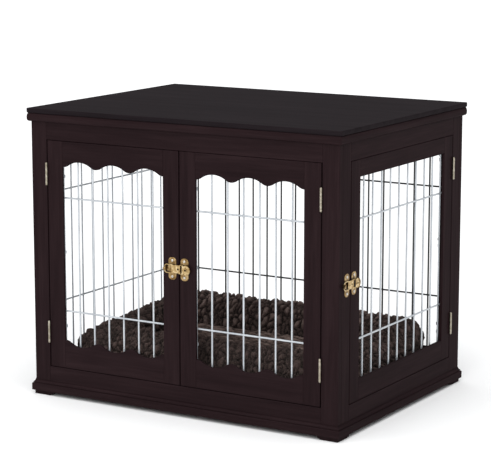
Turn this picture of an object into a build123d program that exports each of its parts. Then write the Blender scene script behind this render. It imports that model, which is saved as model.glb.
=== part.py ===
from build123d import *
import os

# Furniture-style dog crate: a wooden cabinet with wire grilles, a pair of
# front doors, one side door, toggle latches and a removable bolster bed.
# Millimetres.  +Z is up, the pair of doors faces -Y, the side door faces +X.
# The origin is on the floor under the middle of the cabinet.

# ---------------------------------------------------------------- dimensions
BODY_W = 820.0            # cabinet body across X
BODY_D = 620.0            # cabinet body along Y
BOARD = 15.0              # thickness of every frame member
FOOT_H = 9.3              # height of the corner feet
BODY_TOP = 676.0          # underside of the table top
TOP_H = 12.0              # table top thickness
TOP_OVERHANG = 8.7        # table top beyond the body, each side
EDGE = 0.7                # eased edge on the boards

FRONT_STILE = 42.5        # face width of the front corner stiles
BACK_STILE = 56.0         # face width of the back corner stiles
SIDE_STILE = 36.5         # face width of the side stiles, between the corners
GAP = 3.0                 # gap round the doors where the hinges sit
SLIT_TOP = 1.0            # gap above the doors
SLIT_BOTTOM = 1.5         # gap below them
DOOR_Z0, DOOR_Z1 = 73.5, 614.5
DOOR_STILE = 42.0         # face width of the door stiles

SCALLOP_VALLEY = 24.0     # radius of the narrow curves
SCALLOP_CREST = 60.3      # radius of the wide curves
TOP_VALLEY_Z = 553.5      # lower edge of a front door's top rail, lowest point
BOT_VALLEY_Z = 140.5      # upper edge of its bottom rail, highest point
SIDE_OPEN_Z0, SIDE_OPEN_Z1 = 122.0, 576.0   # side door opening
FIXED_OPEN_Z0, FIXED_OPEN_Z1 = 80.0, 608.0  # back and left openings

WIRE_R = 2.1              # grille wire radius
WIRE_Z = (210.0, 480.5)   # the two cross wires
FRONT_PITCH = 41.5        # upright wires, front and back grilles
SIDE_PITCH = 43.5         # upright wires, side grilles
LIP = 6.0                 # wood left in front of the grille rebate
REBATE_Z = 15.0           # rebate beyond the opening, above and below
REBATE_FRONT = 8.4        # and at the sides of each grille
REBATE_SIDE = 6.6
REBATE_LEFT = 5.2
REBATE_BACK = 8.6
DEPTH_NEAR = 9.4          # wire centre depths behind the outer face
DEPTH_FAR = 13.0

BARREL_R = 2.8            # hinge knuckle
PIN_R = 1.5
HINGE_H = 50.8
HINGE_OUT = 3.0           # hinge axis in front of the face
HINGE_Z = (157.0, 535.5)  # middle of each hinge
LATCH_Z = 345.0           # middle of each latch

HW, HD = BODY_W / 2, BODY_D / 2
INX, INY = HW - BOARD, HD - BOARD          # inner faces
OPEN_X = HW - FRONT_STILE                  # inner edge of the front stiles
BACK_X = HW - BACK_STILE                   # inner edge of the back stiles
OPEN_Y = INY - SIDE_STILE                  # inner edge of the side stiles
RAIL_TOP_Z = DOOR_Z1 + SLIT_TOP                # underside of the rail over a door
RAIL_BOT_Z = DOOR_Z0 - SLIT_BOTTOM                # top of the rail under a door
HINGE_X = OPEN_X - GAP / 2                 # front hinge axes at +-HINGE_X
HINGE_Y = OPEN_Y - GAP / 2                 # side hinge axis at +HINGE_Y

DOOR_IN = GAP / 2                          # front door, meeting edge
DOOR_OUT = OPEN_X - GAP                    # front door, hinge edge
DOOR_MID = (DOOR_IN + DOOR_OUT) / 2
WIN_IN = DOOR_IN + DOOR_STILE              # front door opening in x
WIN_OUT = DOOR_OUT - DOOR_STILE
SCALLOP_PITCH = (WIN_OUT - WIN_IN) / 3     # three waves across the opening
SCALLOP_SUM = SCALLOP_VALLEY + SCALLOP_CREST
SCALLOP_H = SCALLOP_SUM - (SCALLOP_SUM ** 2 - (SCALLOP_PITCH / 2) ** 2) ** 0.5
SIDE_HALF = OPEN_Y - GAP                   # side door half width
SIDE_WIN = SIDE_HALF - DOOR_STILE          # side door opening half width

TAB_W, TAB_H, TAB_T = 17.0, 8.0, 1.2       # welded fixing tabs of the grilles
TAB_DEPTH = BOARD                          # they lie on the boards' inner faces
TAB_START = 3.0                            # a tab's inner end beyond the opening edge
FRONT_TAB_Z = (172.0, 350.0, 530.0)
SIDE_TAB_Z = (143.0, 353.0, 560.0)

parts = []                                 # every finished piece


def keep(builder, name):
    builder.part.label = name
    parts.append(builder.part)


# ------------------------------------------------------------------- screws
# A screw is (x, y, z), the direction its point travels, its kind.
SCREWS = {
    # kind: shank radius, shank length, head radius, head height, countersunk
    "tab": (1.4, 12.0, 2.9, 1.6, False),
    "hinge": (1.2, 14.0, 2.3, 1.1, True),
    "plate": (1.3, 12.0, 3.1, 1.3, False),
}


def axis_plane(at, direction):
    return Plane(origin=at, z_dir=direction)


def disc(at, direction, radius, offset=0.0):
    """A round section square to direction, offset along it."""
    with BuildSketch(axis_plane(at, direction).offset(offset), mode=Mode.PRIVATE) as s:
        Circle(radius)
    return s.sketch


def screw_holes(screws):
    """Pilot holes, cut from the part being built."""
    for at, direction, kind in screws:
        shank_r, length, _, _, _ = SCREWS[kind]
        extrude(disc(at, direction, shank_r + 0.02), amount=length + 0.5,
                mode=Mode.SUBTRACT)


def screw_set(screws, name):
    with BuildPart() as group:
        for at, direction, kind in screws:
            shank_r, length, head_r, head_h, sunk = SCREWS[kind]
            frame = axis_plane(at, direction)
            with BuildSketch(frame):
                Circle(shank_r)
            extrude(amount=length - 3)
            with BuildSketch(frame.offset(length - 3)):
                Circle(shank_r)
            extrude(amount=3, taper=18)
            if sunk:
                with BuildSketch(frame):
                    Circle(head_r)
                with BuildSketch(frame.offset(head_h)):
                    Circle(shank_r)
                loft()
            else:
                with BuildSketch(frame):
                    Circle(head_r)
                extrude(amount=-head_h * 0.55)
                with BuildSketch(frame.offset(-head_h * 0.55)):
                    Circle(head_r)
                extrude(amount=-head_h * 0.45, taper=45)
            top = 0.0 if sunk else -head_h
            with BuildSketch(frame.offset(top)):
                Rectangle(head_r * 1.1, 0.7)
                Rectangle(0.7, head_r * 1.1)
            extrude(amount=0.6, mode=Mode.SUBTRACT)
    keep(group, name)


# Hinge screws: each leaf has two, driven sideways into the edge it lies on.
LEAF_T = 1.2
LEAF_IN = 0.25            # leaf face nearest the axis
HINGE_SCREW_V = 11.5      # distance of the leaf screws behind the axis


def hinge_screws(x, y, u, v, side):
    """side -1 is the frame's leaf, +1 the door's leaf."""
    found = []
    for zc in HINGE_Z:
        for dz in (-16.0, 16.0):
            at = (x + u[0] * side * LEAF_IN + v[0] * HINGE_SCREW_V,
                  y + u[1] * side * LEAF_IN + v[1] * HINGE_SCREW_V, zc + dz)
            found.append((at, (u[0] * side, u[1] * side, 0), "hinge"))
    return found


FL = (-HINGE_X, -HD - HINGE_OUT, (1, 0), (0, 1))
FR = (HINGE_X, -HD - HINGE_OUT, (-1, 0), (0, 1))
SD = (HW + HINGE_OUT, HINGE_Y, (0, -1), (-1, 0))

fl_frame_screws = hinge_screws(*FL, -1)
fl_door_screws = hinge_screws(*FL, 1)
fr_frame_screws = hinge_screws(*FR, -1)
fr_door_screws = hinge_screws(*FR, 1)
sd_frame_screws = hinge_screws(*SD, -1)
sd_door_screws = hinge_screws(*SD, 1)

# Tab screws: through the grille's tabs into the backs of the boards.
TAB_SCREW = 14.5                           # beyond the opening edge
tab_head = TAB_DEPTH + TAB_T               # depth of the screw head's seat


def front_tab_screws(sign):
    found = []
    for z in FRONT_TAB_Z:
        for x in (WIN_IN - TAB_SCREW, WIN_OUT + TAB_SCREW):
            found.append(((sign * x, -HD + tab_head, z), (0, -1, 0), "tab"))
    return found


side_tab_screws = [((HW - tab_head, s * (SIDE_WIN + TAB_SCREW), z), (1, 0, 0), "tab")
                   for z in SIDE_TAB_Z for s in (-1, 1)]
left_tab_screws = [((-HW + tab_head, s * (OPEN_Y + TAB_SCREW), z), (-1, 0, 0), "tab")
                   for z in SIDE_TAB_Z for s in (-1, 1)]
back_tab_screws = [((s * (BACK_X + TAB_SCREW), HD - tab_head, z), (0, 1, 0), "tab")
                   for z in SIDE_TAB_Z for s in (-1, 1)]

# Latch plate screws.  Latches lie across a seam: u runs from the hook to the
# lever, v runs out of the face.
HOOK_U, BASE_U = -18.0, 14.6               # middles of the two screw plates
PLATE_W, PLATE_H, PLATE_T = 21.0, 52.0, 1.2
PLATE_SCREW = 18.5


def plate_screws(origin, u, v, mid):
    return [((origin[0] + u[0] * mid + v[0] * PLATE_T,
              origin[1] + u[1] * mid + v[1] * PLATE_T, LATCH_Z + dz),
             (-v[0], -v[1], 0), "plate") for dz in (-PLATE_SCREW, PLATE_SCREW)]


FRONT_LATCH = ((0.0, -HD), (1, 0), (0, -1))
SIDE_LATCH = ((HW, -HINGE_Y), (0, 1), (1, 0))
front_hook_screws = plate_screws(*FRONT_LATCH, HOOK_U)
front_base_screws = plate_screws(*FRONT_LATCH, BASE_U)
side_hook_screws = plate_screws(*SIDE_LATCH, HOOK_U)
side_base_screws = plate_screws(*SIDE_LATCH, BASE_U)


# ------------------------------------------------------------ cabinet frames
def board(name, x0, x1, y0, y1, z0, z1, rebate=None, screws=()):
    """A straight board with eased edges, an optional rebate box and holes."""
    with BuildPart() as piece:
        with BuildSketch(Plane.XY.offset(z0)):
            with Locations(((x0 + x1) / 2, (y0 + y1) / 2)):
                Rectangle(x1 - x0, y1 - y0)
        extrude(amount=z1 - z0)
        chamfer(piece.edges(), EDGE)
        if rebate:
            a0, a1, b0, b1, c0, c1 = rebate
            with BuildSketch(Plane.XY.offset(c0)):
                with Locations(((a0 + a1) / 2, (b0 + b1) / 2)):
                    Rectangle(a1 - a0, b1 - b0)
            extrude(amount=c1 - c0, mode=Mode.SUBTRACT)
        screw_holes(screws)
    keep(piece, name)


# Front frame: full-height corner stiles with a rail above and below the doors.
board("front_left_stile", -HW, -OPEN_X, -HD, -INY, FOOT_H, BODY_TOP,
      screws=fl_frame_screws)
board("front_right_stile", OPEN_X, HW, -HD, -INY, FOOT_H, BODY_TOP,
      screws=fr_frame_screws)
board("front_top_rail", -OPEN_X, OPEN_X, -HD, -INY, RAIL_TOP_Z, BODY_TOP)
board("front_bottom_rail", -OPEN_X, OPEN_X, -HD, -INY, FOOT_H, RAIL_BOT_Z)

# Back frame: wider corner stiles round a fixed grille.
Z0R, Z1R = FIXED_OPEN_Z0 - REBATE_Z, FIXED_OPEN_Z1 + REBATE_Z
XR, YR = BACK_X + REBATE_BACK, OPEN_Y + REBATE_LEFT
board("back_left_stile", -HW, -BACK_X, INY, HD, FOOT_H, BODY_TOP,
      rebate=(-XR, -BACK_X, INY, HD - LIP, Z0R, Z1R), screws=back_tab_screws)
board("back_right_stile", BACK_X, HW, INY, HD, FOOT_H, BODY_TOP,
      rebate=(BACK_X, XR, INY, HD - LIP, Z0R, Z1R), screws=back_tab_screws)
board("back_top_rail", -BACK_X, BACK_X, INY, HD, FIXED_OPEN_Z1, BODY_TOP,
      rebate=(-BACK_X, BACK_X, INY, HD - LIP, FIXED_OPEN_Z1, Z1R))
board("back_bottom_rail", -BACK_X, BACK_X, INY, HD, FOOT_H, FIXED_OPEN_Z0,
      rebate=(-BACK_X, BACK_X, INY, HD - LIP, Z0R, FIXED_OPEN_Z0))

# Right side frame round the side door.
board("right_front_stile", INX, HW, -INY, -OPEN_Y, FOOT_H, BODY_TOP,
      screws=side_hook_screws)
board("right_rear_stile", INX, HW, OPEN_Y, INY, FOOT_H, BODY_TOP,
      screws=sd_frame_screws)
board("right_top_rail", INX, HW, -OPEN_Y, OPEN_Y, RAIL_TOP_Z, BODY_TOP)
board("right_bottom_rail", INX, HW, -OPEN_Y, OPEN_Y, FOOT_H, RAIL_BOT_Z)

# Left side frame round a fixed grille.
board("left_front_stile", -HW, -INX, -INY, -OPEN_Y, FOOT_H, BODY_TOP,
      rebate=(-HW + LIP, -INX, -YR, -OPEN_Y, Z0R, Z1R), screws=left_tab_screws)
board("left_rear_stile", -HW, -INX, OPEN_Y, INY, FOOT_H, BODY_TOP,
      rebate=(-HW + LIP, -INX, OPEN_Y, YR, Z0R, Z1R), screws=left_tab_screws)
board("left_top_rail", -HW, -INX, -OPEN_Y, OPEN_Y, FIXED_OPEN_Z1, BODY_TOP,
      rebate=(-HW + LIP, -INX, -OPEN_Y, OPEN_Y, FIXED_OPEN_Z1, Z1R))
board("left_bottom_rail", -HW, -INX, -OPEN_Y, OPEN_Y, FOOT_H, FIXED_OPEN_Z0,
      rebate=(-HW + LIP, -INX, -OPEN_Y, OPEN_Y, Z0R, FIXED_OPEN_Z0))

# Floor panel on battens fixed round the inside of the frames.
FLOOR_TOP = 42.0
FLOOR_T = 10.0
board("floor_panel", -INX + 1, INX - 1, -INY + 1, INY - 1,
      FLOOR_TOP - FLOOR_T, FLOOR_TOP)

with BuildPart() as floor_battens:
    with BuildSketch(Plane.XY.offset(FLOOR_TOP - FLOOR_T - 20)):
        with Locations((0, -INY + 9), (0, INY - 9)):
            Rectangle(2 * INX, 18)
        with Locations((-INX + 9, 0), (INX - 9, 0)):
            Rectangle(18, 2 * INY - 36.6)
    extrude(amount=20)
keep(floor_battens, "floor_battens")

# Table top: a plain slab, its lower edge rounded in, its upper edge softened.
with BuildPart() as table_top:
    with BuildSketch(Plane.XY.offset(BODY_TOP)):
        RectangleRounded(BODY_W + 2 * TOP_OVERHANG, BODY_D + 2 * TOP_OVERHANG, 4)
    extrude(amount=TOP_H)
    fillet(table_top.faces().sort_by(Axis.Z)[0].edges(), 4.5)
    fillet(table_top.faces().sort_by(Axis.Z)[-1].edges(), 2.2)
keep(table_top, "table_top")


# ----------------------------------------------------------------- mouldings
# Each moulding is four mitred lengths glued on the outside of the body.
def moulding(name, profile, reach):
    """profile draws the section's outline; reach is its greatest projection."""
    runs = []
    for turn, half, other in ((0, HW, HD), (90, HD, HW),
                              (180, HW, HD), (270, HD, HW)):
        # the run lies along local x, and its local -y faces outwards
        with BuildPart() as run:
            with BuildSketch(Plane(origin=(-half - reach - 1, -other, 0),
                                   x_dir=(0, -1, 0), z_dir=(-1, 0, 0))):
                with BuildLine():
                    profile()
                make_face()
            extrude(amount=-(2 * half + 2 * reach + 2))
            with BuildSketch(Plane.XY):
                with BuildLine():
                    # a hairline is left at each mitre
                    Polyline((-half + 0.05, -other), (half - 0.05, -other),
                             (half + reach + 0.45, -other - reach - 0.5),
                             (-half - reach - 0.45, -other - reach - 0.5),
                             close=True)
                make_face()
            extrude(amount=BODY_TOP + 5, mode=Mode.INTERSECT)
        runs.append(run.part.rotate(Axis.Z, turn))
    with BuildPart() as ring:
        for length in runs:
            add(length.solids())
    keep(ring, name)


TOP_MOULD_Z0, TOP_MOULD_OUT = 657.0, 7.7
BASE_MOULD_Z1, BASE_MOULD_OUT = 36.6, 7.3


def bullnose():
    Polyline((5.2, BODY_TOP), (0, BODY_TOP), (0, TOP_MOULD_Z0), (3.4, TOP_MOULD_Z0))
    ThreePointArc((3.4, TOP_MOULD_Z0), (6.3, TOP_MOULD_Z0 + 2.0),
                  (7.5, TOP_MOULD_Z0 + 6.6))
    ThreePointArc((7.5, TOP_MOULD_Z0 + 6.6), (TOP_MOULD_OUT, TOP_MOULD_Z0 + 11.0),
                  (7.2, TOP_MOULD_Z0 + 14.6))
    ThreePointArc((7.2, TOP_MOULD_Z0 + 14.6), (6.6, TOP_MOULD_Z0 + 17.0),
                  (5.2, BODY_TOP))


def ogee():
    z0, out = FOOT_H, BASE_MOULD_OUT
    Polyline((0, BASE_MOULD_Z1), (0, z0), (out - 0.8, z0), (out, z0 + 0.8), (out, z0 + 15.0))
    ThreePointArc((out, z0 + 15.0), (out - 0.5, z0 + 16.8), (out - 2.0, z0 + 17.8))
    Polyline((out - 2.0, z0 + 17.8), (out - 3.4, z0 + 17.8), (out - 3.4, z0 + 19.3),
             (out - 2.2, z0 + 19.3), (out - 2.2, z0 + 20.2))
    ThreePointArc((out - 2.2, z0 + 20.2), (2.7, z0 + 22.0), (1.1, z0 + 24.6))
    Polyline((1.1, z0 + 24.6), (1.1, z0 + 25.3), (0.3, z0 + 26.0), (1.0, z0 + 26.6),
             (1.0, BASE_MOULD_Z1), (0, BASE_MOULD_Z1))


moulding("top_moulding", bullnose, TOP_MOULD_OUT)
moulding("base_moulding", ogee, BASE_MOULD_OUT)

# Corner feet: square blocks whose inner sides curve up to the base moulding.
FOOT_OUT, FOOT_TREAD, FOOT_SPREAD = 2.0, 42.0, 57.0


def foot_side(outer):
    """Side view of a foot: outer face at u = outer, running towards +u."""
    Polyline((outer, FOOT_H), (outer, 0.8), (outer + 0.8, 0), (outer + FOOT_TREAD, 0))
    ThreePointArc((outer + FOOT_TREAD, 0), (outer + FOOT_TREAD + 6.5, 2.6),
                  (outer + FOOT_SPREAD - 3, FOOT_H - 1.2))
    Polyline((outer + FOOT_SPREAD - 3, FOOT_H - 1.2), (outer + FOOT_SPREAD, FOOT_H),
             (outer, FOOT_H))


with BuildPart() as foot:
    with BuildSketch(Plane(origin=(0, -HD - FOOT_OUT, 0), x_dir=(1, 0, 0),
                           z_dir=(0, -1, 0))):
        with BuildLine():
            foot_side(-HW - FOOT_OUT)
        make_face()
    extrude(amount=-70)
    with BuildSketch(Plane(origin=(-HW - FOOT_OUT, 0, 0), x_dir=(0, 1, 0),
                           z_dir=(1, 0, 0))):
        with BuildLine():
            foot_side(-HD - FOOT_OUT)
        make_face()
    extrude(amount=70, mode=Mode.INTERSECT)

with BuildPart() as feet:
    add(foot.part)
    add(foot.part.mirror(Plane.YZ))
    add(foot.part.mirror(Plane.XZ))
    add(foot.part.mirror(Plane.YZ).mirror(Plane.XZ))
keep(feet, "feet")


# --------------------------------------------------------------- wire grilles
def grille(name, face, inward, along, mid, half, pitch, count, z0, z1,
           deep, cross, tab_edge, tab_z, border=()):
    """Welded grille in the plane of one wall.

    face is a point on the wall's outer face, inward and along are unit
    vectors, mid and half give the cross wires' extent, count the uprights;
    border adds uprights that are hidden in the rebate.
    """
    def at(s, depth, z):
        return (face[0] + along[0] * s + inward[0] * depth,
                face[1] + along[1] * s + inward[1] * depth, z)

    with BuildPart() as mesh:
        uprights = [(i - (count - 1) / 2) * pitch for i in range(count)]
        for s in [mid + offset for offset in uprights + list(border)]:
            with BuildSketch(Plane(origin=at(s, deep, z0), z_dir=(0, 0, 1))):
                Circle(WIRE_R)
            extrude(amount=z1 - z0)
        for z in WIRE_Z:
            with BuildSketch(Plane(origin=at(mid - half, cross, z),
                                   z_dir=(along[0], along[1], 0))):
                Circle(WIRE_R)
            extrude(amount=2 * half)
        for z in tab_z:
            for s in (-1, 1):
                inner = tab_edge + TAB_START
                c = mid + s * (inner + TAB_W / 2)
                with BuildSketch(Plane(origin=at(c, TAB_DEPTH, z),
                                       x_dir=(along[0], along[1], 0),
                                       z_dir=(inward[0], inward[1], 0))):
                    RectangleRounded(TAB_W, TAB_H, 2)
                extrude(amount=TAB_T)
                with BuildSketch(Plane(origin=at(mid + s * (tab_edge + TAB_SCREW),
                                                 TAB_DEPTH - 3, z),
                                       z_dir=(inward[0], inward[1], 0))):
                    Circle(1.6)
                extrude(amount=6, mode=Mode.SUBTRACT)
    keep(mesh, name)


def reach(pitch, count):
    """The cross wires end flush with the outermost uprights."""
    return (count - 1) / 2 * pitch + WIRE_R


win_half = (WIN_OUT - WIN_IN) / 2
for side, sign in (("left", -1), ("right", 1)):
    grille(f"front_{side}_grille", (0, -HD), (0, 1), (1, 0), sign * DOOR_MID,
           reach(FRONT_PITCH, 8), FRONT_PITCH, 8, 114, 580,
           DEPTH_FAR, DEPTH_NEAR, win_half, FRONT_TAB_Z)
grille("side_grille", (HW, 0), (-1, 0), (0, 1), 0, reach(SIDE_PITCH, 11),
       SIDE_PITCH, 11, SIDE_OPEN_Z0 - 12, SIDE_OPEN_Z1 + 12,
       DEPTH_FAR, DEPTH_NEAR, SIDE_WIN, SIDE_TAB_Z)
grille("left_grille", (-HW, 0), (1, 0), (0, 1), 0, reach(SIDE_PITCH, 13),
       SIDE_PITCH, 13, Z0R + 2, Z1R - 2, DEPTH_FAR, DEPTH_NEAR, OPEN_Y, SIDE_TAB_Z)
BORDER = BACK_X + 5.75
grille("back_grille", (0, HD), (0, -1), (1, 0), 0, BORDER + WIRE_R,
       FRONT_PITCH, 17, Z0R + 2, Z1R - 2, DEPTH_FAR, DEPTH_NEAR, BACK_X, SIDE_TAB_Z,
       border=(-BORDER, BORDER))


# --------------------------------------------------------------- front doors
def wave(z_end, up):
    """Three waves from WIN_IN to WIN_OUT; up is +1 when the waves rise."""
    inflect = SCALLOP_VALLEY / (SCALLOP_VALLEY + SCALLOP_CREST) * SCALLOP_PITCH / 2
    rise = SCALLOP_VALLEY - (SCALLOP_VALLEY ** 2 - inflect ** 2) ** 0.5

    def valley(x, x0):
        return SCALLOP_VALLEY - (SCALLOP_VALLEY ** 2 - (x - x0) ** 2) ** 0.5

    def crest(x, x0):
        top = SCALLOP_H - (SCALLOP_CREST - (SCALLOP_CREST ** 2 - (x - x0) ** 2) ** 0.5)
        return top

    for i in range(3):
        left = WIN_IN + i * SCALLOP_PITCH
        peak, right = left + SCALLOP_PITCH / 2, left + SCALLOP_PITCH
        a, b = left + inflect, right - inflect
        for p, q, r, f, c in ((left, left + inflect / 2, a, valley, left),
                              (a, peak, b, crest, peak),
                              (b, right - inflect / 2, right, valley, right)):
            zp = 0.0 if p == left else rise
            zr = 0.0 if r == right else rise
            ThreePointArc((p, z_end + up * zp), (q, z_end + up * f(q, c)),
                          (r, z_end + up * zr))
    return rise


FRONT_PLANE = Plane(origin=(0, -HD, 0), x_dir=(1, 0, 0), z_dir=(0, -1, 0))
REB_Z0, REB_Z1 = 112.0, 582.0
RX0, RX1 = WIN_IN - REBATE_FRONT, WIN_OUT + REBATE_FRONT


def front_door(side, sign, extra_lock_screws):
    tabs = front_tab_screws(1)

    def finish(builder, name):
        if sign < 0:
            with BuildPart() as other:
                add(builder.part.mirror(Plane.YZ))
            builder = other
        keep(builder, name)

    # stiles are drawn for the right door and mirrored for the left one
    mirror_screws = [((sign * p[0], p[1], p[2]), (sign * d[0], d[1], d[2]), k)
                     for p, d, k in extra_lock_screws]
    hinge = fr_door_screws
    for name, x0, x1, r0, r1, screws in (
            ("lock_stile", DOOR_IN, WIN_IN, RX0, WIN_IN, tabs + mirror_screws),
            ("hinge_stile", WIN_OUT, DOOR_OUT, WIN_OUT, RX1, tabs + hinge)):
        with BuildPart() as stile:
            with BuildSketch(Plane.XY.offset(DOOR_Z0)):
                with Locations(((x0 + x1) / 2, -HD + BOARD / 2)):
                    Rectangle(x1 - x0, BOARD)
            extrude(amount=DOOR_Z1 - DOOR_Z0)
            chamfer(stile.edges(), EDGE)
            with BuildSketch(Plane.XY.offset(REB_Z0)):
                with Locations(((r0 + r1) / 2, (-HD + LIP - INY) / 2)):
                    Rectangle(r1 - r0, BOARD - LIP)
            extrude(amount=REB_Z1 - REB_Z0, mode=Mode.SUBTRACT)
            screw_holes(screws)
        finish(stile, f"front_{side}_{name}")

    with BuildPart() as top_rail:
        with BuildSketch(FRONT_PLANE):
            with BuildLine():
                wave(TOP_VALLEY_Z, 1)
                Polyline((WIN_OUT, TOP_VALLEY_Z), (WIN_OUT, DOOR_Z1),
                         (WIN_IN, DOOR_Z1), (WIN_IN, TOP_VALLEY_Z))
            make_face()
        extrude(amount=-BOARD)
        rim = [e for e in top_rail.faces().sort_by(Axis.Y)[0].edges()
               if e.center().Z < DOOR_Z1 - 30 and e.length < 80
               and e.geom_type == GeomType.CIRCLE]
        fillet(rim, 1.8)
        chamfer(top_rail.edges().filter_by(Axis.X), EDGE)
        chamfer(top_rail.edges().filter_by(Axis.Z).group_by(Axis.Y)[0], EDGE)
        with BuildSketch(Plane.XY.offset(TOP_VALLEY_Z - 5)):
            with Locations((DOOR_MID, (-HD + LIP - INY) / 2)):
                Rectangle(WIN_OUT - WIN_IN + 2, BOARD - LIP)
        extrude(amount=REB_Z1 - TOP_VALLEY_Z + 5, mode=Mode.SUBTRACT)
    finish(top_rail, f"front_{side}_top_rail")

    with BuildPart() as bottom_rail:
        with BuildSketch(FRONT_PLANE):
            with BuildLine():
                wave(BOT_VALLEY_Z, -1)
                Polyline((WIN_OUT, BOT_VALLEY_Z), (WIN_OUT, DOOR_Z0),
                         (WIN_IN, DOOR_Z0), (WIN_IN, BOT_VALLEY_Z))
            make_face()
        extrude(amount=-BOARD)
        rim = [e for e in bottom_rail.faces().sort_by(Axis.Y)[0].edges()
               if e.geom_type == GeomType.CIRCLE]
        fillet(rim, 1.8)
        chamfer(bottom_rail.edges().filter_by(Axis.X), EDGE)
        chamfer(bottom_rail.edges().filter_by(Axis.Z).group_by(Axis.Y)[0], EDGE)
        with BuildSketch(Plane.XY.offset(REB_Z0)):
            with Locations((DOOR_MID, (-HD + LIP - INY) / 2)):
                Rectangle(WIN_OUT - WIN_IN + 2, BOARD - LIP)
        extrude(amount=BOT_VALLEY_Z - REB_Z0 + 5, mode=Mode.SUBTRACT)
    finish(bottom_rail, f"front_{side}_bottom_rail")


front_door("left", -1, front_hook_screws)
front_door("right", 1, front_base_screws)

# ------------------------------------------------------------------ side door
SZ0, SZ1 = SIDE_OPEN_Z0 - REBATE_Z + 1, SIDE_OPEN_Z1 + REBATE_Z - 1
board("side_lock_stile", INX, HW, -SIDE_HALF, -SIDE_WIN, DOOR_Z0, DOOR_Z1,
      rebate=(INX, HW - LIP, -SIDE_WIN - REBATE_SIDE, -SIDE_WIN, SZ0, SZ1),
      screws=side_tab_screws + side_base_screws)
board("side_hinge_stile", INX, HW, SIDE_WIN, SIDE_HALF, DOOR_Z0, DOOR_Z1,
      rebate=(INX, HW - LIP, SIDE_WIN, SIDE_WIN + REBATE_SIDE, SZ0, SZ1),
      screws=side_tab_screws + sd_door_screws)
board("side_top_rail", INX, HW, -SIDE_WIN, SIDE_WIN, SIDE_OPEN_Z1, DOOR_Z1,
      rebate=(INX, HW - LIP, -SIDE_WIN, SIDE_WIN, SIDE_OPEN_Z1, SZ1))
board("side_bottom_rail", INX, HW, -SIDE_WIN, SIDE_WIN, DOOR_Z0, SIDE_OPEN_Z0,
      rebate=(INX, HW - LIP, -SIDE_WIN, SIDE_WIN, SZ0, SIDE_OPEN_Z0))


# --------------------------------------------------------------------- hinges
# Local frame of a hinge: origin on the pin's axis, x from the frame towards
# the door, y into the wall.  Frame knuckles are the outer two, the door's
# knuckle is the middle one.
def hinge_plane(x, y, u, v, z):
    up = u[0] * v[1] - u[1] * v[0]
    return Plane(origin=(x, y, z), x_dir=(u[0], u[1], 0), z_dir=(0, 0, up))


LEAF_DEEP = 16.4
KNUCKLE = HINGE_H / 3


def ring_at(centre, z, radius):
    with BuildSketch(centre.offset(z), mode=Mode.PRIVATE) as s:
        Circle(radius)
    return s.sketch


def leaf(centre, side, bore):
    """One leaf of a hinge; side -1 for the frame, +1 for the door."""
    with BuildPart(mode=Mode.PRIVATE) as piece:
        with BuildSketch(centre.offset(-HINGE_H / 2)):
            with Locations((side * (LEAF_IN + LEAF_T / 2), LEAF_DEEP / 2 + 1.2)):
                Rectangle(LEAF_T, LEAF_DEEP - 2.4)
        extrude(amount=HINGE_H)
        half = KNUCKLE / 2
        if side < 0:
            spans = ((-HINGE_H / 2, -half - 0.1), (half + 0.1, HINGE_H / 2))
            gaps = ((-half - 0.1, half + 0.1),)
        else:
            spans = ((-half + 0.1, half - 0.1),)
            gaps = ((-HINGE_H / 2 - 1, -half + 0.1), (half - 0.1, HINGE_H / 2 + 1))
        for a, b in spans:
            extrude(ring_at(centre, a, BARREL_R), amount=b - a)
        for a, b in gaps:
            extrude(ring_at(centre, a, BARREL_R + 0.15), amount=b - a,
                    mode=Mode.SUBTRACT)
        extrude(ring_at(centre, -HINGE_H / 2 - 1, bore), amount=HINGE_H + 2,
                mode=Mode.SUBTRACT)
    return piece.part


def leaf_holes(screws):
    """Countersunk holes that the screw heads sit in."""
    for at, direction, kind in screws:
        shank_r, _, head_r, head_h, _ = SCREWS[kind]
        extrude(disc(at, direction, shank_r + 0.05, -0.5), amount=3,
                mode=Mode.SUBTRACT)
        loft([disc(at, direction, head_r + 0.06),
              disc(at, direction, shank_r + 0.05, head_h + 0.03)], mode=Mode.SUBTRACT)


with BuildPart() as hinge_frame_leaves:
    for place in (FL, FR, SD):
        for zc in HINGE_Z:
            add(leaf(hinge_plane(*place, zc), -1, PIN_R + 0.02))
    leaf_holes(fl_frame_screws + fr_frame_screws + sd_frame_screws)
keep(hinge_frame_leaves, "hinge_frame_leaves")

for door_name, place, screws in (("front_left", FL, fl_door_screws),
                                 ("front_right", FR, fr_door_screws),
                                 ("side", SD, sd_door_screws)):
    with BuildPart() as door_leaves:
        for zc in HINGE_Z:
            add(leaf(hinge_plane(*place, zc), 1, PIN_R + 0.05))
        leaf_holes(screws)
    keep(door_leaves, f"{door_name}_hinge_leaves")

with BuildPart() as hinge_pins:
    for place in (FL, FR, SD):
        for zc in HINGE_Z:
            with BuildSketch(Plane.XY.offset(zc - HINGE_H / 2)):
                with Locations((place[0], place[1])):
                    Circle(PIN_R)
            extrude(amount=HINGE_H)
            for z, h in ((zc - HINGE_H / 2, -1.2), (zc + HINGE_H / 2, 1.2)):
                with BuildSketch(Plane.XY.offset(z)):
                    with Locations((place[0], place[1])):
                        Circle(2.6)
                extrude(amount=h, taper=20)
keep(hinge_pins, "hinge_pins")


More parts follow.
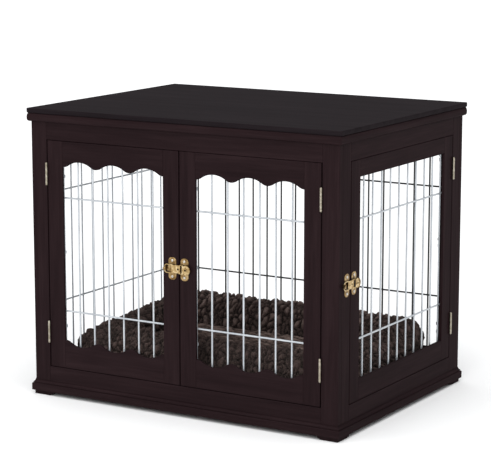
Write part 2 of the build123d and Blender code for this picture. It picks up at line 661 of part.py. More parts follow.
# -------------------------------------------------------------------- latches
# Toggle latch in its own frame: x (u) from the hook to the lever, y (v) out of
# the face, z (w) across.  Raising the lever first pushes the bail's bar out
# from under the claw.  The section is the same for both latches.
PIVOT = (9.0, 2.5)        # lever axis on the base plate
LINK_PIVOT = (12.0, 4.2)  # bail axis on the lever
EAR_W = (6.4, 7.6)        # base plate ears, across
FLANGE_W = (7.8, 9.0)     # lever side flanges, across
ARM_W = (9.2, 10.6)       # bail arms, across
BAIL_T = 1.2
TAIL = 33.0               # end of the lever
TAIL_R = 10.8             # its rounded end
BAR_U = (-37.0, -35.0)    # bail end bar
LEVER_V = 6.0             # underside of the lever's plate


def latch_plane(origin, u, v):
    return Plane(origin=(origin[0], origin[1], LATCH_Z),
                 x_dir=(u[0], u[1], 0), z_dir=(0, 0, -1))


def build_latch(prefix, place, hook_screws, base_screws):
    frame = latch_plane(*place)
    flat = Plane(origin=frame.origin, x_dir=frame.x_dir, z_dir=frame.y_dir)

    def local(u, v, w):
        return frame.from_local_coords(Vector(u, v, w))

    def level(w):
        return frame.offset(w)

    # ---- hook plate: screw plate with a claw that laps over the bail's bar
    with BuildPart() as hook_plate:
        with BuildSketch(flat):
            with Locations((HOOK_U, 0)):
                RectangleRounded(PLATE_W, PLATE_H, 9.0)
        extrude(amount=PLATE_T)
        fillet(hook_plate.faces().sort_by(Axis(frame.origin, frame.y_dir))[-1].edges(), 0.5)
        with BuildSketch(level(-5.5)):
            with BuildLine():
                Polyline((-27, 0), (-34.6, 0), (-34.6, 6.4), (-39.4, 6.9), (-39.7, 7.5),
                         (-39.0, 8.1), (-33.6, 7.9), (-33.2, 7.4), (-33.2, 1.2), (-27, 1.2),
                         close=True)
            make_face()
        extrude(amount=11)
        # the claw narrows to a rounded point
        for s in (-1, 1):
            with BuildSketch(flat.offset(1.2)):
                with BuildLine():
                    Polyline((-41, s * 1.8), (-38.2, s * 2.6), (-33.0, s * 4.6),
                             (-32, s * 4.6), (-32, s * 7), (-41, s * 7), close=True)
                make_face()
            extrude(amount=9, mode=Mode.SUBTRACT)
        for at, direction, kind in hook_screws:
            with BuildSketch(axis_plane(at, direction).offset(-3)):
                Circle(SCREWS[kind][0] + 0.1)
            extrude(amount=6, mode=Mode.SUBTRACT)
    keep(hook_plate, f"{prefix}_latch_hook_plate")

    # ---- base plate: screw plate with two ears that carry the lever
    with BuildPart() as base_plate:
        with BuildSketch(flat):
            with Locations((BASE_U, 0)):
                RectangleRounded(PLATE_W, PLATE_H, 9.0)
        extrude(amount=PLATE_T)
        fillet(base_plate.faces().sort_by(Axis(frame.origin, frame.y_dir))[-1].edges(), 0.5)
        for w in (EAR_W[0], -EAR_W[1]):
            with BuildSketch(level(w)):
                with Locations((PIVOT[0], PLATE_T + (PIVOT[1] - PLATE_T) / 2 - 0.3)):
                    Rectangle(3.4, PIVOT[1] - PLATE_T + 0.6)
                with Locations(PIVOT):
                    Circle(1.7)
            extrude(amount=EAR_W[1] - EAR_W[0])
        with BuildSketch(level(-10)):
            with Locations(PIVOT):
                Circle(1.02)
        extrude(amount=20, mode=Mode.SUBTRACT)
        # slots beside the ears let the lever's flanges swing through
        for w in (FLANGE_W[0] - 0.15, -FLANGE_W[1] - 0.15):
            with BuildSketch(level(w)):
                with Locations((PIVOT[0], 0.6)):
                    Rectangle(4.8, 1.4)
            extrude(amount=FLANGE_W[1] - FLANGE_W[0] + 0.3, mode=Mode.SUBTRACT)
        for at, direction, kind in base_screws:
            with BuildSketch(axis_plane(at, direction).offset(-3)):
                Circle(SCREWS[kind][0] + 0.1)
            extrude(amount=6, mode=Mode.SUBTRACT)
    keep(base_plate, f"{prefix}_latch_base_plate")

    with BuildPart() as pin:
        with BuildSketch(level(-9.1)):
            with Locations(PIVOT):
                Circle(1.0)
        extrude(amount=18.2)
    keep(pin, f"{prefix}_latch_pin")

    # ---- lever: folded channel with a round tail and a raised eye
    tail_u = TAIL - TAIL_R
    with BuildPart() as lever:
        with BuildSketch(flat.offset(LEVER_V)):
            with BuildLine():
                Polyline((tail_u - 3.5, TAIL_R), (15.6, 9.0), (11.6, 9.0), (11.6, -9.0),
                         (15.6, -9.0), (tail_u - 3.5, -TAIL_R), (tail_u, -TAIL_R))
                ThreePointArc((tail_u, -TAIL_R), (TAIL, 0), (tail_u, TAIL_R))
                Line((tail_u, TAIL_R), (tail_u - 3.5, TAIL_R))
            make_face()
        extrude(amount=1.2)
        # turned-up rim round the tail
        with BuildSketch(flat.offset(LEVER_V + 1.2)):
            with BuildLine():
                ThreePointArc((tail_u, -TAIL_R + 0.1), (TAIL - 0.1, 0), (tail_u, TAIL_R - 0.1))
                ThreePointArc((tail_u, TAIL_R - 0.1), (TAIL - 1.7, 0), (tail_u, -TAIL_R + 0.1))
            make_face()
        extrude(amount=1.0)
        for w in (FLANGE_W[0], -FLANGE_W[1]):
            with BuildSketch(level(w)):
                with BuildLine():
                    Polyline((PIVOT[0] - 1.4, 1.7), (PIVOT[0] + 1.0, 1.5), (19.4, 1.7),
                             (22.6, 4.6), (23.0, LEVER_V + 0.2), (11.6, LEVER_V + 0.2),
                             (PIVOT[0] - 1.2, 4.3), close=True)
                make_face()
                with Locations(PIVOT):
                    Circle(1.9)
            extrude(amount=FLANGE_W[1] - FLANGE_W[0])
            # it stays clear of the base plate
            with BuildSketch(level(w)):
                with Locations((PIVOT[0] + 5, -0.4)):
                    Rectangle(40, 3.6)
            extrude(amount=FLANGE_W[1] - FLANGE_W[0], mode=Mode.SUBTRACT)
        # raised eye
        with BuildSketch(flat.offset(LEVER_V + 1.2)):
            with Locations((20.5, 0)):
                Circle(4.6)
        extrude(amount=0.8)
        with BuildSketch(flat.offset(LEVER_V - 1)):
            with Locations((20.5, 0)):
                Circle(2.5)
        extrude(amount=5, mode=Mode.SUBTRACT)
        # bearing holes
        with BuildSketch(level(-12)):
            with Locations(PIVOT):
                Circle(1.06)
            with Locations(LINK_PIVOT):
                Circle(0.88)
        extrude(amount=24, mode=Mode.SUBTRACT)
    keep(lever, f"{prefix}_latch_lever")

    # ---- bail: stamped plate with a window; its arms straddle the lever
    v0 = LINK_PIVOT[1] - BAIL_T / 2
    with BuildPart() as bail:
        with BuildSketch(flat.offset(v0)):
            with BuildLine():
                Polyline((LINK_PIVOT[0], ARM_W[1]), (4.5, ARM_W[1]), (0.5, 9.2),
                         (-14.0, 9.2), (-17.5, ARM_W[1]), (-31.5, ARM_W[1]),
                         (-35.4, 8.8), (BAR_U[0], 6.0), (BAR_U[0], -6.0), (-35.4, -8.8),
                         (-31.5, -ARM_W[1]), (-17.5, -ARM_W[1]), (-14.0, -9.2), (0.5, -9.2),
                         (4.5, -ARM_W[1]), (LINK_PIVOT[0], -ARM_W[1]), close=True)
            make_face()
            # window behind the end bar
            with BuildLine():
                Polyline((BAR_U[1], 5.4), (BAR_U[1], -5.4), (-33.6, -7.6), (-31.0, -8.6),
                         (-18.4, -8.6), (-18.4, 8.6), (-31.0, 8.6), (-33.6, 7.6), close=True)
            make_face(mode=Mode.SUBTRACT)
            # room for the lever between the arms, and the keyhole
            with Locations((LINK_PIVOT[0] / 2 + 3.2, 0)):
                Rectangle(LINK_PIVOT[0] - 3.4, 2 * ARM_W[0], mode=Mode.SUBTRACT)
            with Locations((-0.8, 0)):
                Circle(2.4, mode=Mode.SUBTRACT)
        extrude(amount=BAIL_T)
        for w in (ARM_W[0], -ARM_W[1]):
            with BuildSketch(level(w)):
                with Locations(LINK_PIVOT):
                    Circle(1.45)
            extrude(amount=ARM_W[1] - ARM_W[0])
        for a, b in ((8.0, 9.8), (-9.8, -8.0)):
            with BuildSketch(level(a)):
                with Locations(LINK_PIVOT):
                    Circle(0.8)
            extrude(amount=b - a)
    keep(bail, f"{prefix}_latch_bail")


build_latch("front", FRONT_LATCH, front_hook_screws, front_base_screws)
build_latch("side", SIDE_LATCH, side_hook_screws, side_base_screws)

# --------------------------------------------------------------------- screws
screw_set(fl_frame_screws + fr_frame_screws + sd_frame_screws + back_tab_screws
          + left_tab_screws + side_hook_screws, "frame_screws")
screw_set(fl_door_screws + front_tab_screws(-1) + front_hook_screws,
          "front_left_door_screws")
screw_set(fr_door_screws + front_tab_screws(1) + front_base_screws,
          "front_right_door_screws")
screw_set(sd_door_screws + side_tab_screws + side_base_screws, "side_door_screws")

# ------------------------------------------------------------------------ bed
# A bolster all round, highest at the back, with a filled cushion in the nest.
BED_Z = FLOOR_TOP + 0.3
BED_X, BED_Y0, BED_Y1 = 375.0, -272.0, 272.0
NEST_X, NEST_Y0, NEST_Y1 = 268.0, -104.0, 114.0
BED_BACK_H, BED_FRONT_H = 167.0, 137.0     # bolster height above the floor line

with BuildPart() as bed_bolster:
    with BuildSketch(Plane.XY.offset(BED_Z)):
        with Locations((0, (BED_Y0 + BED_Y1) / 2)):
            RectangleRounded(2 * BED_X, BED_Y1 - BED_Y0, 95)
    extrude(amount=BED_BACK_H + 10 - BED_Z)
    # the top slopes down from the back to the front
    with BuildSketch(Plane.YZ):
        with BuildLine():
            Polyline((BED_Y0 - 5, BED_FRONT_H), (BED_Y1 + 5, BED_BACK_H),
                     (BED_Y1 + 5, BED_BACK_H + 60), (BED_Y0 - 5, BED_BACK_H + 60),
                     close=True)
        make_face()
    extrude(amount=BED_X + 10, both=True, mode=Mode.SUBTRACT)
    with BuildSketch(Plane.XY.offset(BED_Z - 1)):
        with Locations((0, (NEST_Y0 + NEST_Y1) / 2)):
            RectangleRounded(2 * NEST_X, NEST_Y1 - NEST_Y0, 55)
    extrude(amount=200, mode=Mode.SUBTRACT)
    rim = bed_bolster.faces().sort_by(Axis.Z)[-1]
    fillet(rim.inner_wires()[0].edges(), 56)
    rim = bed_bolster.faces().filter_by(lambda f: f.normal_at().Z > 0.9).sort_by(Axis.Z)[-1]
    fillet(rim.outer_wire().edges(), 42)
keep(bed_bolster, "bed_bolster")

with BuildPart() as bed_cushion:
    with BuildSketch(Plane.XY.offset(BED_Z)):
        with Locations((0, (NEST_Y0 + NEST_Y1) / 2)):
            RectangleRounded(2 * NEST_X - 1, NEST_Y1 - NEST_Y0 - 1, 54.5)
    extrude(amount=70)
    fillet(bed_cushion.faces().sort_by(Axis.Z)[-1].edges(), 24)
keep(bed_cushion, "bed_cushion")

# --------------------------------------------------------------------- export
os.makedirs("parts", exist_ok=True)
for piece in parts:
    export_step(piece, f"parts/{piece.label}.step")
    print(piece.label, len(piece.solids()), round(piece.volume))
print(len(parts), "pieces")
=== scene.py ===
"""Looks for the wooden dog crate: wood, wire and brass finishes, a plush bolster bed."""
import math
import bpy
import numpy as np
from mathutils import Vector, Matrix, noise


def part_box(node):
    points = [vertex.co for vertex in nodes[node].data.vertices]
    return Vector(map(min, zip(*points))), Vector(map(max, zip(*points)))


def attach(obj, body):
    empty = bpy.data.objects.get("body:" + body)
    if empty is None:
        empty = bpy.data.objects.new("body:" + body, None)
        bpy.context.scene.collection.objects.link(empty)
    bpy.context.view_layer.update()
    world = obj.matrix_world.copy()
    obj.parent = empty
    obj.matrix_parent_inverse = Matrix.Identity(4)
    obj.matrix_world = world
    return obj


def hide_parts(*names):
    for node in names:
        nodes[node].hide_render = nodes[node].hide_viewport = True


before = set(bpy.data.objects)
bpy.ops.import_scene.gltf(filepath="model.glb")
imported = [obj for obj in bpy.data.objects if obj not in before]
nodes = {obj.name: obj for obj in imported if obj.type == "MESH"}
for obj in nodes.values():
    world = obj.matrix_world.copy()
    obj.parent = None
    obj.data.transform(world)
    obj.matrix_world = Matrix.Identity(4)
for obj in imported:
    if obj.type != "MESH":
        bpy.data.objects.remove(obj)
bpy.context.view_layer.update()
scene = bpy.context.scene


# ------------------------------------------------------------ node helpers
class Mat:
    """A material's node tree with short helpers."""

    def __init__(self, name):
        self.m = bpy.data.materials.new(name)
        self.m.use_nodes = True
        self.t = self.m.node_tree
        self.t.nodes.clear()
        self.out = self.t.nodes.new("ShaderNodeOutputMaterial")
        self.b = self.t.nodes.new("ShaderNodeBsdfPrincipled")
        self.t.links.new(self.b.outputs[0], self.out.inputs["Surface"])

    def node(self, kind, **sets):
        n = self.t.nodes.new(kind)
        for k, v in sets.items():
            if k.startswith("i_"):
                n.inputs[k[2:].replace("_", " ")].default_value = v
            else:
                setattr(n, k, v)
        return n

    def link(self, a, b):
        self.t.links.new(a, b)

    def coords(self, scale=(1, 1, 1), loc=(0, 0, 0), rot=(0, 0, 0)):
        c = self.node("ShaderNodeTexCoord")
        mp = self.node("ShaderNodeMapping")
        mp.inputs["Scale"].default_value = scale
        mp.inputs["Location"].default_value = loc
        mp.inputs["Rotation"].default_value = rot
        self.link(c.outputs["Object"], mp.inputs["Vector"])
        return mp.outputs["Vector"]

    def noise(self, vec, scale, detail=4, rough=0.55, dist=0.0):
        n = self.node("ShaderNodeTexNoise")
        n.inputs["Scale"].default_value = scale
        n.inputs["Detail"].default_value = detail
        n.inputs["Roughness"].default_value = rough
        n.inputs["Distortion"].default_value = dist
        self.link(vec, n.inputs["Vector"])
        return n.outputs["Fac"]

    def ramp(self, fac, stops):
        r = self.node("ShaderNodeValToRGB")
        e = r.color_ramp.elements
        while len(e) > len(stops):
            e.remove(e[-1])
        while len(e) < len(stops):
            e.new(0.5)
        for i, (p, c) in enumerate(stops):
            e[i].position = p
            e[i].color = (*c, 1) if len(c) == 3 else c
        self.link(fac, r.inputs["Fac"])
        return r.outputs["Color"]

    def rng(self, fac, a, b, lo=0.0, hi=1.0):
        r = self.node("ShaderNodeMapRange")
        r.inputs["From Min"].default_value = lo
        r.inputs["From Max"].default_value = hi
        r.inputs["To Min"].default_value = a
        r.inputs["To Max"].default_value = b
        self.link(fac, r.inputs["Value"])
        return r.outputs["Result"]

    def math(self, op, a, b=None):
        n = self.node("ShaderNodeMath", operation=op)
        for i, v in enumerate((a, b)):
            if v is None:
                continue
            if isinstance(v, (int, float)):
                n.inputs[i].default_value = v
            else:
                self.link(v, n.inputs[i])
        return n.outputs[0]

    def mix(self, fac, a, b, blend="MIX"):
        n = self.node("ShaderNodeMix", data_type="RGBA", blend_type=blend)
        for sock, v in ((n.inputs[0], fac), (n.inputs[6], a), (n.inputs[7], b)):
            if isinstance(v, (int, float)):
                sock.default_value = v
            elif isinstance(v, tuple):
                sock.default_value = (*v, 1) if len(v) == 3 else v
            else:
                self.link(v, sock)
        return n.outputs[2]

    def bump(self, height, strength, distance, under=None):
        n = self.node("ShaderNodeBump")
        n.inputs["Strength"].default_value = strength
        n.inputs["Distance"].default_value = distance
        self.link(height, n.inputs["Height"])
        if under is not None:
            self.link(under, n.inputs["Normal"])
        return n.outputs["Normal"]

    def set(self, **vals):
        for k, v in vals.items():
            sock = self.b.inputs[k.replace("_", " ")]
            if isinstance(v, (int, float)):
                sock.default_value = v
            elif isinstance(v, tuple):
                sock.default_value = (*v, 1) if len(v) == 3 else v
            else:
                self.link(v, sock)


def wood(name, along, dark, mid, light, seed=0.0, gloss=0.0, coat=0.07):
    """Espresso-stained board: open grain under a satin lacquer, running along one axis."""
    m = Mat(name)
    stretch = [1.0, 1.0, 1.0]
    stretch["xyz".index(along)] = 0.045
    vec = m.coords(scale=tuple(stretch), loc=(seed, seed * 1.7, seed * 0.6))
    flat = m.coords()
    grain = m.noise(vec, 210, 6, 0.62, 0.35)
    bands = m.noise(vec, 34, 4, 0.6, 0.8)
    pores = m.noise(vec, 900, 3, 0.7, 0.0)
    cloud = m.noise(flat, 3.2, 3, 0.5, 0.0)
    tone = m.math("ADD", m.math("MULTIPLY", grain, 0.45), m.math("MULTIPLY", bands, 0.55))
    col = m.ramp(tone, [(0.34, dark), (0.5, mid), (0.68, light)])
    col = m.mix(m.rng(cloud, 0.0, 0.30, 0.35, 0.7), col, dark)
    rough = m.math("ADD", m.rng(m.noise(flat, 9, 4, 0.6), 0.38, 0.48, 0.3, 0.7),
                   m.math("MULTIPLY", m.math("SUBTRACT", 0.5, pores), 0.10))
    n1 = m.bump(m.rng(pores, 0.0, 1.0, 0.35, 0.7), 0.16, 0.0003)
    n2 = m.bump(grain, 0.13, 0.0006, n1)
    n3 = m.bump(m.noise(flat, 40, 2, 0.5), 0.05, 0.0012, n2)
    m.set(Base_Color=col, Roughness=rough, Normal=n3, Specular_IOR_Level=gloss,
          Coat_Weight=coat, Coat_Roughness=0.28)
    return m.m


E_D, E_M, E_L = (0.0100, 0.0050, 0.0058), (0.0150, 0.0077, 0.0088), (0.0225, 0.0122, 0.0136)


def zinc(name, tone, metal):
    m = Mat(name)
    v = m.coords()
    n = m.noise(v, 260, 4, 0.6)
    big = m.noise(v, 14, 3, 0.5)
    col = m.ramp(big, [(0.35, (0.82 * tone, 0.87 * tone, 0.93 * tone)),
                       (0.62, (1.04 * tone, 1.09 * tone, 1.14 * tone))])
    col = m.mix(m.rng(n, 0.0, 0.40, 0.6, 0.78), col, (0.62 * tone, 0.66 * tone, 0.72 * tone))
    m.set(Base_Color=col, Metallic=metal, Roughness=m.rng(n, 0.26, 0.42, 0.3, 0.7),
          Normal=m.bump(n, 0.10, 0.0002), Specular_IOR_Level=0.5)
    return m.m


def brass(name, deep, mid, high, rough=(0.22, 0.42)):
    m = Mat(name)
    v = m.coords()
    blot = m.noise(v, 120, 5, 0.62, 0.4)
    fine = m.noise(v, 1400, 3, 0.6)
    col = m.ramp(blot, [(0.34, deep), (0.5, mid), (0.66, high)])
    # painted shade: darker where parts meet and in recesses, from the occlusion
    ao = m.node("ShaderNodeAmbientOcclusion", samples=12)
    ao.inputs["Distance"].default_value = 0.010
    crevice_shade = m.rng(ao.outputs["AO"], 1.0, 0.0, 0.32, 0.86)
    col = m.mix(m.math("MULTIPLY", crevice_shade, 0.86), col, tuple(c * 0.14 for c in deep))
    m.set(Base_Color=col, Metallic=1.0, Roughness=m.rng(blot, rough[0], rough[1], 0.3, 0.7),
          Normal=m.bump(fine, 0.08, 0.00015, m.bump(blot, 0.18, 0.0004)))
    return m.m


def plush(name, crease_shade, body, tip, streak):
    """Long-pile plush.  The mesh attribute 'pile' is 0 in the grooves and 1 on the tufts."""
    m = Mat(name)
    v = m.coords()
    vs = m.coords(scale=streak)
    at = m.node("ShaderNodeAttribute", attribute_name="pile")
    fibre = m.noise(vs, 520, 5, 0.7, 0.6)
    tuft = m.noise(vs, 150, 4, 0.6, 0.9)
    patch = m.noise(v, 26, 4, 0.6, 0.3)
    h = m.math("ADD", m.math("MULTIPLY", at.outputs["Fac"], 0.62),
               m.math("MULTIPLY", tuft, 0.38))
    curl = m.noise(vs, 210, 5, 0.68, 1.2)
    h = m.math("ADD", m.math("MULTIPLY", h, 0.66), m.math("MULTIPLY", curl, 0.34))
    # painted shade: where the pile is low, between tufts, the colour runs to the near-black crease
    # colour
    col = m.ramp(h, [(0.36, crease_shade), (0.55, body), (0.74, tip)])
    col = m.mix(m.rng(fibre, 0.0, 0.55, 0.45, 0.75), col, tip)
    col = m.mix(m.rng(patch, 0.0, 0.45, 0.5, 0.75), col, crease_shade)
    # painted shade: hollows and creases darkened toward the crease colour from the occlusion
    ao = m.node("ShaderNodeAmbientOcclusion", samples=10)
    ao.inputs["Distance"].default_value = 0.030
    col = m.mix(m.rng(ao.outputs["AO"], 0.92, 0.0, 0.25, 0.80), col, crease_shade)
    n1 = m.bump(fibre, 0.55, 0.0016)
    n2 = m.bump(curl, 0.70, 0.0030, m.bump(tuft, 0.60, 0.0040, n1))
    m.set(Base_Color=col, Roughness=0.92, Normal=n2, Specular_IOR_Level=0.12,
          Sheen_Weight=0.05, Sheen_Roughness=0.45, Sheen_Tint=(0.62, 0.50, 0.42))
    return m.m


# ------------------------------------------------------- finishes on the CAD
def paint(node, *mats):
    o = nodes[node]
    o.data.materials.clear()
    for mt in mats:
        o.data.materials.append(mt)
    for p in o.data.polygons:
        p.material_index = 0


wx = wood("espresso_x", "x", E_D, E_M, E_L, 0.3)
wy = wood("espresso_y", "y", E_D, E_M, E_L, 1.1)
wz = wood("espresso_z", "z", E_D, E_M, E_L, 2.3)
# painted reflection: the top takes its own greyer, bluer copy of the espresso wood, for the pale
# sheen that lies on it
wtop_reflection = wood("espresso_top_reflection", "x", (0.0084, 0.0058, 0.0070), (0.0115, 0.0083, 0.0098),
            (0.0165, 0.0122, 0.0140), 4.1, 0.0, 0.06)

wood_of = {
    "table_top": wtop_reflection, "top_moulding": wx, "base_moulding": wx, "feet": wz,
    "floor_panel": wx, "floor_battens": wx,
}
for n in nodes:
    if n.endswith("_stile"):
        wood_of[n] = wz
    elif n.endswith("_rail"):
        wood_of[n] = wy if n.startswith(("left_", "right_", "side_")) else wx
for n, mt in wood_of.items():
    paint(n, mt)
# the mitred lengths that run along Y take the other grain
for n in ("top_moulding", "base_moulding"):
    o = nodes[n]
    o.data.materials.append(wy)
    for p in o.data.polygons:
        c = p.center
        if 0.41 - abs(c.x) < 0.31 - abs(c.y):
            p.material_index = 1

wire = zinc("wire_coat", 0.56, 0.5)
# painted shade: the back wall's grille takes a near-black copy of the wire finish
wire_painted_shade = zinc("wire_back_shade", 0.05, 0.25)      # the back wall's grille stands in shade
for n in nodes:
    if n.endswith("_grille"):
        paint(n, wire_painted_shade if n == "back_grille" else wire)

gold = brass("antique_brass", (0.26, 0.160, 0.060), (0.47, 0.330, 0.150), (0.80, 0.640, 0.380))
# painted shade: the latch plates, under the lever and bail, take a darker copy of the brass
plate = brass("latch_plate_shade", (0.135, 0.078, 0.027), (0.29, 0.185, 0.075), (0.52, 0.38, 0.20))
pale = brass("hinge_brass", (0.24, 0.205, 0.150), (0.36, 0.32, 0.25), (0.50, 0.455, 0.375),
             (0.30, 0.45))
head = brass("screw_heads", (0.46, 0.42, 0.35), (0.68, 0.64, 0.57), (0.86, 0.84, 0.79),
             (0.22, 0.36))
for n in nodes:
    if "_latch_" in n:
        paint(n, plate if n.endswith("_plate") else gold)
    elif "hinge_leaves" in n or n in ("hinge_frame_leaves", "hinge_pins"):
        paint(n, pale)
    elif n.endswith("_screws"):
        paint(n, head)


# ----------------------------------------------------------------- the bed
def shade_smooth(o):
    for p in o.data.polygons:
        p.use_smooth = True


def copy_of(node, name):
    src = nodes[node]
    me = src.data.copy()
    me.name = name
    me.materials.clear()
    o = bpy.data.objects.new(name, me)
    scene.collection.objects.link(o)
    return o


def apply_all(o):
    dg = bpy.context.evaluated_depsgraph_get()
    me = bpy.data.meshes.new_from_object(o.evaluated_get(dg))
    old = o.data
    o.modifiers.clear()
    o.data = me
    bpy.data.meshes.remove(old)


def verts(o):
    a = np.empty(len(o.data.vertices) * 3)
    o.data.vertices.foreach_get("co", a)
    return a.reshape(-1, 3)


def set_verts(o, a):
    o.data.vertices.foreach_set("co", np.ascontiguousarray(a).ravel())
    o.data.update()


def normals(o):
    a = np.empty(len(o.data.vertices) * 3)
    o.data.vertices.foreach_get("normal", a)
    return a.reshape(-1, 3)


def voxel(o, size):
    md = o.modifiers.new("remesh", "REMESH")
    md.mode = "VOXEL"
    md.voxel_size = size
    apply_all(o)


def inflate(o, pressure, cap, frames=20):
    """Short cloth run under air pressure, each point's travel capped."""
    before = verts(o)
    cl = o.modifiers.new("cloth", "CLOTH")
    s = cl.settings
    s.quality = 4
    s.mass = 0.35
    s.tension_stiffness = 12
    s.compression_stiffness = 10
    s.bending_stiffness = 0.6
    s.use_pressure = True
    s.uniform_pressure_force = pressure
    s.effector_weights.gravity = 0
    cl.collision_settings.use_collision = False
    cl.point_cache.frame_start, cl.point_cache.frame_end = 1, frames
    for f in range(1, frames + 1):
        scene.frame_set(f)
    apply_all(o)
    scene.frame_set(1)
    after = verts(o)
    if len(after) == len(before):
        d = after - before
        ln = np.linalg.norm(d, axis=1, keepdims=True)
        set_verts(o, before + d * np.minimum(1, cap / np.maximum(ln, 1e-9)))


def smooth(o, n, factor=0.5):
    md = o.modifiers.new("smooth", "SMOOTH")
    md.factor, md.iterations = factor, n
    apply_all(o)


def subdivide(o, n=1):
    md = o.modifiers.new("sub", "SUBSURF")
    md.levels = md.render_levels = n
    apply_all(o)


def noise_at(p, scale, off=0.0):
    return np.array([noise.noise(Vector((a * scale + off, b * scale - off, c * scale + off)))
                     for a, b, c in p])


def set_pile(o, values):
    at = o.data.attributes.new("pile", "FLOAT", "POINT")
    at.data.foreach_set("value", values.astype(np.float32))


def ring_path(hx, y0, y1, r, step=0.004):
    """Dense closed path of a rounded rectangle, counter-clockwise."""
    pts = []
    for cx, cy, a0 in ((hx - r, y1 - r, 0), (-hx + r, y1 - r, 90),
                       (-hx + r, y0 + r, 180), (hx - r, y0 + r, 270)):
        for k in range(13):
            a = math.radians(a0 + 7.5 * k)
            pts.append((cx + r * math.cos(a), cy + r * math.sin(a)))
    pts.append(pts[0])
    out = []
    for (ax, ay), (bx, by) in zip(pts, pts[1:]):
        n = max(1, int(math.hypot(bx - ax, by - ay) / step))
        for i in range(n):
            out.append((ax + (bx - ax) * i / n, ay + (by - ay) * i / n))
    return np.array(out)


def tufts(a, b, c):
    """Irregular tufts: 1 on the middle of a tuft, 0 in the creases between them."""
    out = np.empty(len(a))
    for i in range(len(a)):
        d = noise.voronoi(Vector((a[i], b[i], c[i])))[0]
        out[i] = d[1] - d[0]
    return np.clip(out * 1.9, 0, 1) ** 0.55


blo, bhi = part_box("bed_bolster")
clo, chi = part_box("bed_cushion")

# bolster: swollen ring, then ropes of pile over its section
bol = copy_of("bed_bolster", "bed_bolster_plush")
p = verts(bol)
c0 = np.array([0.0, 0.0, (blo.z + bhi.z) / 2])
p = c0 + (p - c0) * np.array([0.985, 0.980, 0.965])
set_verts(bol, p)
voxel(bol, 0.005)
inflate(bol, 4.0, 0.010)
smooth(bol, 6)
subdivide(bol)
p = verts(bol)
path = ring_path(0.3215, -0.188, 0.193, 0.085)
seg = np.linalg.norm(np.roll(path, -1, axis=0) - path, axis=1)
arc = np.concatenate([[0], np.cumsum(seg)[:-1]])
total = seg.sum()
near = np.empty(len(p), int)
for i in range(0, len(p), 4000):
    d = ((p[i:i + 4000, None, :2] - path[None]) ** 2).sum(2)
    near[i:i + 4000] = d.argmin(1)
s = arc[near]
nxt = path[(near + 1) % len(path)]
tan = nxt - path[near]
tan /= np.linalg.norm(tan, axis=1, keepdims=True)
off = p[:, :2] - path[near]
s = s + (off * tan).sum(1)
rad = off[:, 0] * tan[:, 1] - off[:, 1] * tan[:, 0]
phi = np.arctan2(rad, p[:, 2] - 0.080)
n1 = noise_at(p, 22.0) + 0.5 * noise_at(p, 55.0, 3.1)
n2 = noise_at(p, 30.0, 7.7)
n3 = noise_at(p, 150.0, 1.3)
turn, around = 2 * np.pi * s / total, total / 0.0145 / (2 * np.pi)
h = tufts(around * np.cos(turn) + 0.35 * n1, around * np.sin(turn) + 0.35 * n1,
          phi * 0.085 / 0.027 + 0.4 * n2)
h = np.clip(h + 0.22 * n3, 0, 1.15)
low = np.clip((p[:, 2] - (blo.z + 0.004)) / 0.02, 0, 1)      # flat where it rests
big = noise_at(p, 7.0, 9.0)
p = p + normals(bol) * ((h - 0.62) * 0.0125 + big * 0.005)[:, None] * low[:, None]
p[:, 2] = np.maximum(p[:, 2], blo.z)
set_verts(bol, p)
# painted shade: the outer rolls get lower pile values than the back wall, so they are painted
# darker; this sets colour only
roll_shade = 0.58 + 0.42 * (np.clip((p[:, 1] - 0.05) / 0.10, 0, 1)
                     * np.clip((0.32 - np.abs(p[:, 0])) / 0.08, 0, 1))
set_pile(bol, np.clip(h, 0, 1) * roll_shade)
shade_smooth(bol)

# cushion: crowned pad, its pile lying in short rows across the bed
cus = copy_of("bed_cushion", "bed_cushion_plush")
p = verts(cus)
cc = np.array([0.0, (clo.y + chi.y) / 2, clo.z])
p = cc + (p - cc) * np.array([0.985, 0.97, 0.93])
set_verts(cus, p)
voxel(cus, 0.005)
inflate(cus, 4.0, 0.012)
smooth(cus, 6)
subdivide(cus)
p = verts(cus)
ex = np.clip(1 - (np.abs(p[:, 0]) / (chi.x)) ** 2.6, 0, 1)
ey = np.clip(1 - (np.abs(p[:, 1] - cc[1]) / ((chi.y - clo.y) / 2)) ** 2.2, 0, 1)
up = np.clip((p[:, 2] - (clo.z + 0.02)) / 0.045, 0, 1)
p[:, 2] += up * (0.006 * ex * ey)
n1 = noise_at(p, 26.0) + 0.4 * noise_at(p, 60.0, 2.0)
n2 = noise_at(p, 20.0, 5.0)
n3 = noise_at(p, 170.0, 1.9)
h = tufts(p[:, 0] / 0.030 + 0.3 * n1, p[:, 1] / 0.0115 + 0.3 * n2, p[:, 2] / 0.0115)
h = np.clip(h + 0.20 * n3, 0, 1.15)
low = np.clip((p[:, 2] - (clo.z + 0.004)) / 0.02, 0, 1)
p = p + normals(cus) * ((h - 0.6) * 0.0058)[:, None] * low[:, None]
p[:, 2] = np.maximum(p[:, 2], clo.z)
set_verts(cus, p)
set_pile(cus, np.clip(h, 0, 1))
shade_smooth(cus)
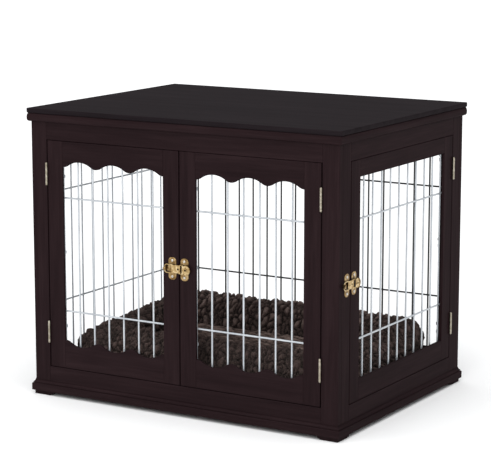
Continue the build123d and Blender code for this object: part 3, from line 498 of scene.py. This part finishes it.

# the first colour of each plush is its near-black crease colour: painted shade
bol.data.materials.append(plush("plush_bolster", (0.0036, 0.0024, 0.0024), (0.062, 0.0410, 0.0370),
                                (0.260, 0.1880, 0.1660), (1, 1, 0.5)))
cus.data.materials.append(plush("plush_cushion", (0.0045, 0.0030, 0.0029), (0.088, 0.0590, 0.0500),
                                (0.300, 0.2180, 0.1900), (0.4, 1, 1)))
for o, node_name, slot_name in ((bol, "bed_bolster", "bolster"), (cus, "bed_cushion", "cushion")):
    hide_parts(node_name)
    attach(o, "bed")


# ------------------------------------------------------------------- studio
def floor():
    me = bpy.data.meshes.new("studio_floor")
    n, reach = 48, 45.0
    v = [(reach * math.cos(2 * math.pi * k / n), reach * math.sin(2 * math.pi * k / n), 0.0)
         for k in range(n)]
    me.from_pydata(v, [], [tuple(range(n))])
    o = bpy.data.objects.new("studio_floor", me)
    scene.collection.objects.link(o)
    m = Mat("studio_paper")
    m.set(Base_Color=(0.88, 0.88, 0.88), Roughness=0.95, Specular_IOR_Level=0.0)
    me.materials.append(m.m)
    return o


floor()

world = bpy.data.worlds.new("studio")
world.use_nodes = True
bg = world.node_tree.nodes["Background"]
bg.inputs["Color"].default_value = (0.98, 0.99, 1.0, 1)
bg.inputs["Strength"].default_value = 0.72
scene.world = world
scene.view_settings.view_transform = "Standard"
scene.view_settings.look = "None"


def lamp(kind, name, loc, target, power, **sets):
    d = bpy.data.lights.new(name, kind)
    d.energy = power
    for k, v in sets.items():
        setattr(d, k, v)
    o = bpy.data.objects.new(name, d)
    o.location = loc
    o.rotation_euler = (Vector(target) - Vector(loc)).to_track_quat("-Z", "Y").to_euler()
    scene.collection.objects.link(o)
    return o


lamp("SUN", "overhead", (0.9, -2.1, 6.0), (0, 0, 0), 2.15, angle=math.radians(80))
lamp("AREA", "key", (0.9, -4.6, 2.2), (0, 0, 0.3), 60, shape="RECTANGLE", size=2.4, size_y=2.0)

cam = bpy.data.cameras.new("camera")
cam.sensor_fit = "HORIZONTAL"
cam.sensor_width = 36.0
cam.lens = 36.0 * 1976.93 / 491.0
cam.clip_start, cam.clip_end = 0.1, 60
co = bpy.data.objects.new("camera", cam)
co.location = (2.3859, -3.9986, 1.2239)
yaw, pitch = 0.5400, 0.1813
look = Vector((-math.sin(yaw) * math.cos(pitch), math.cos(yaw) * math.cos(pitch), -math.sin(pitch)))
co.rotation_euler = look.to_track_quat("-Z", "Y").to_euler()
scene.collection.objects.link(co)
scene.camera = co
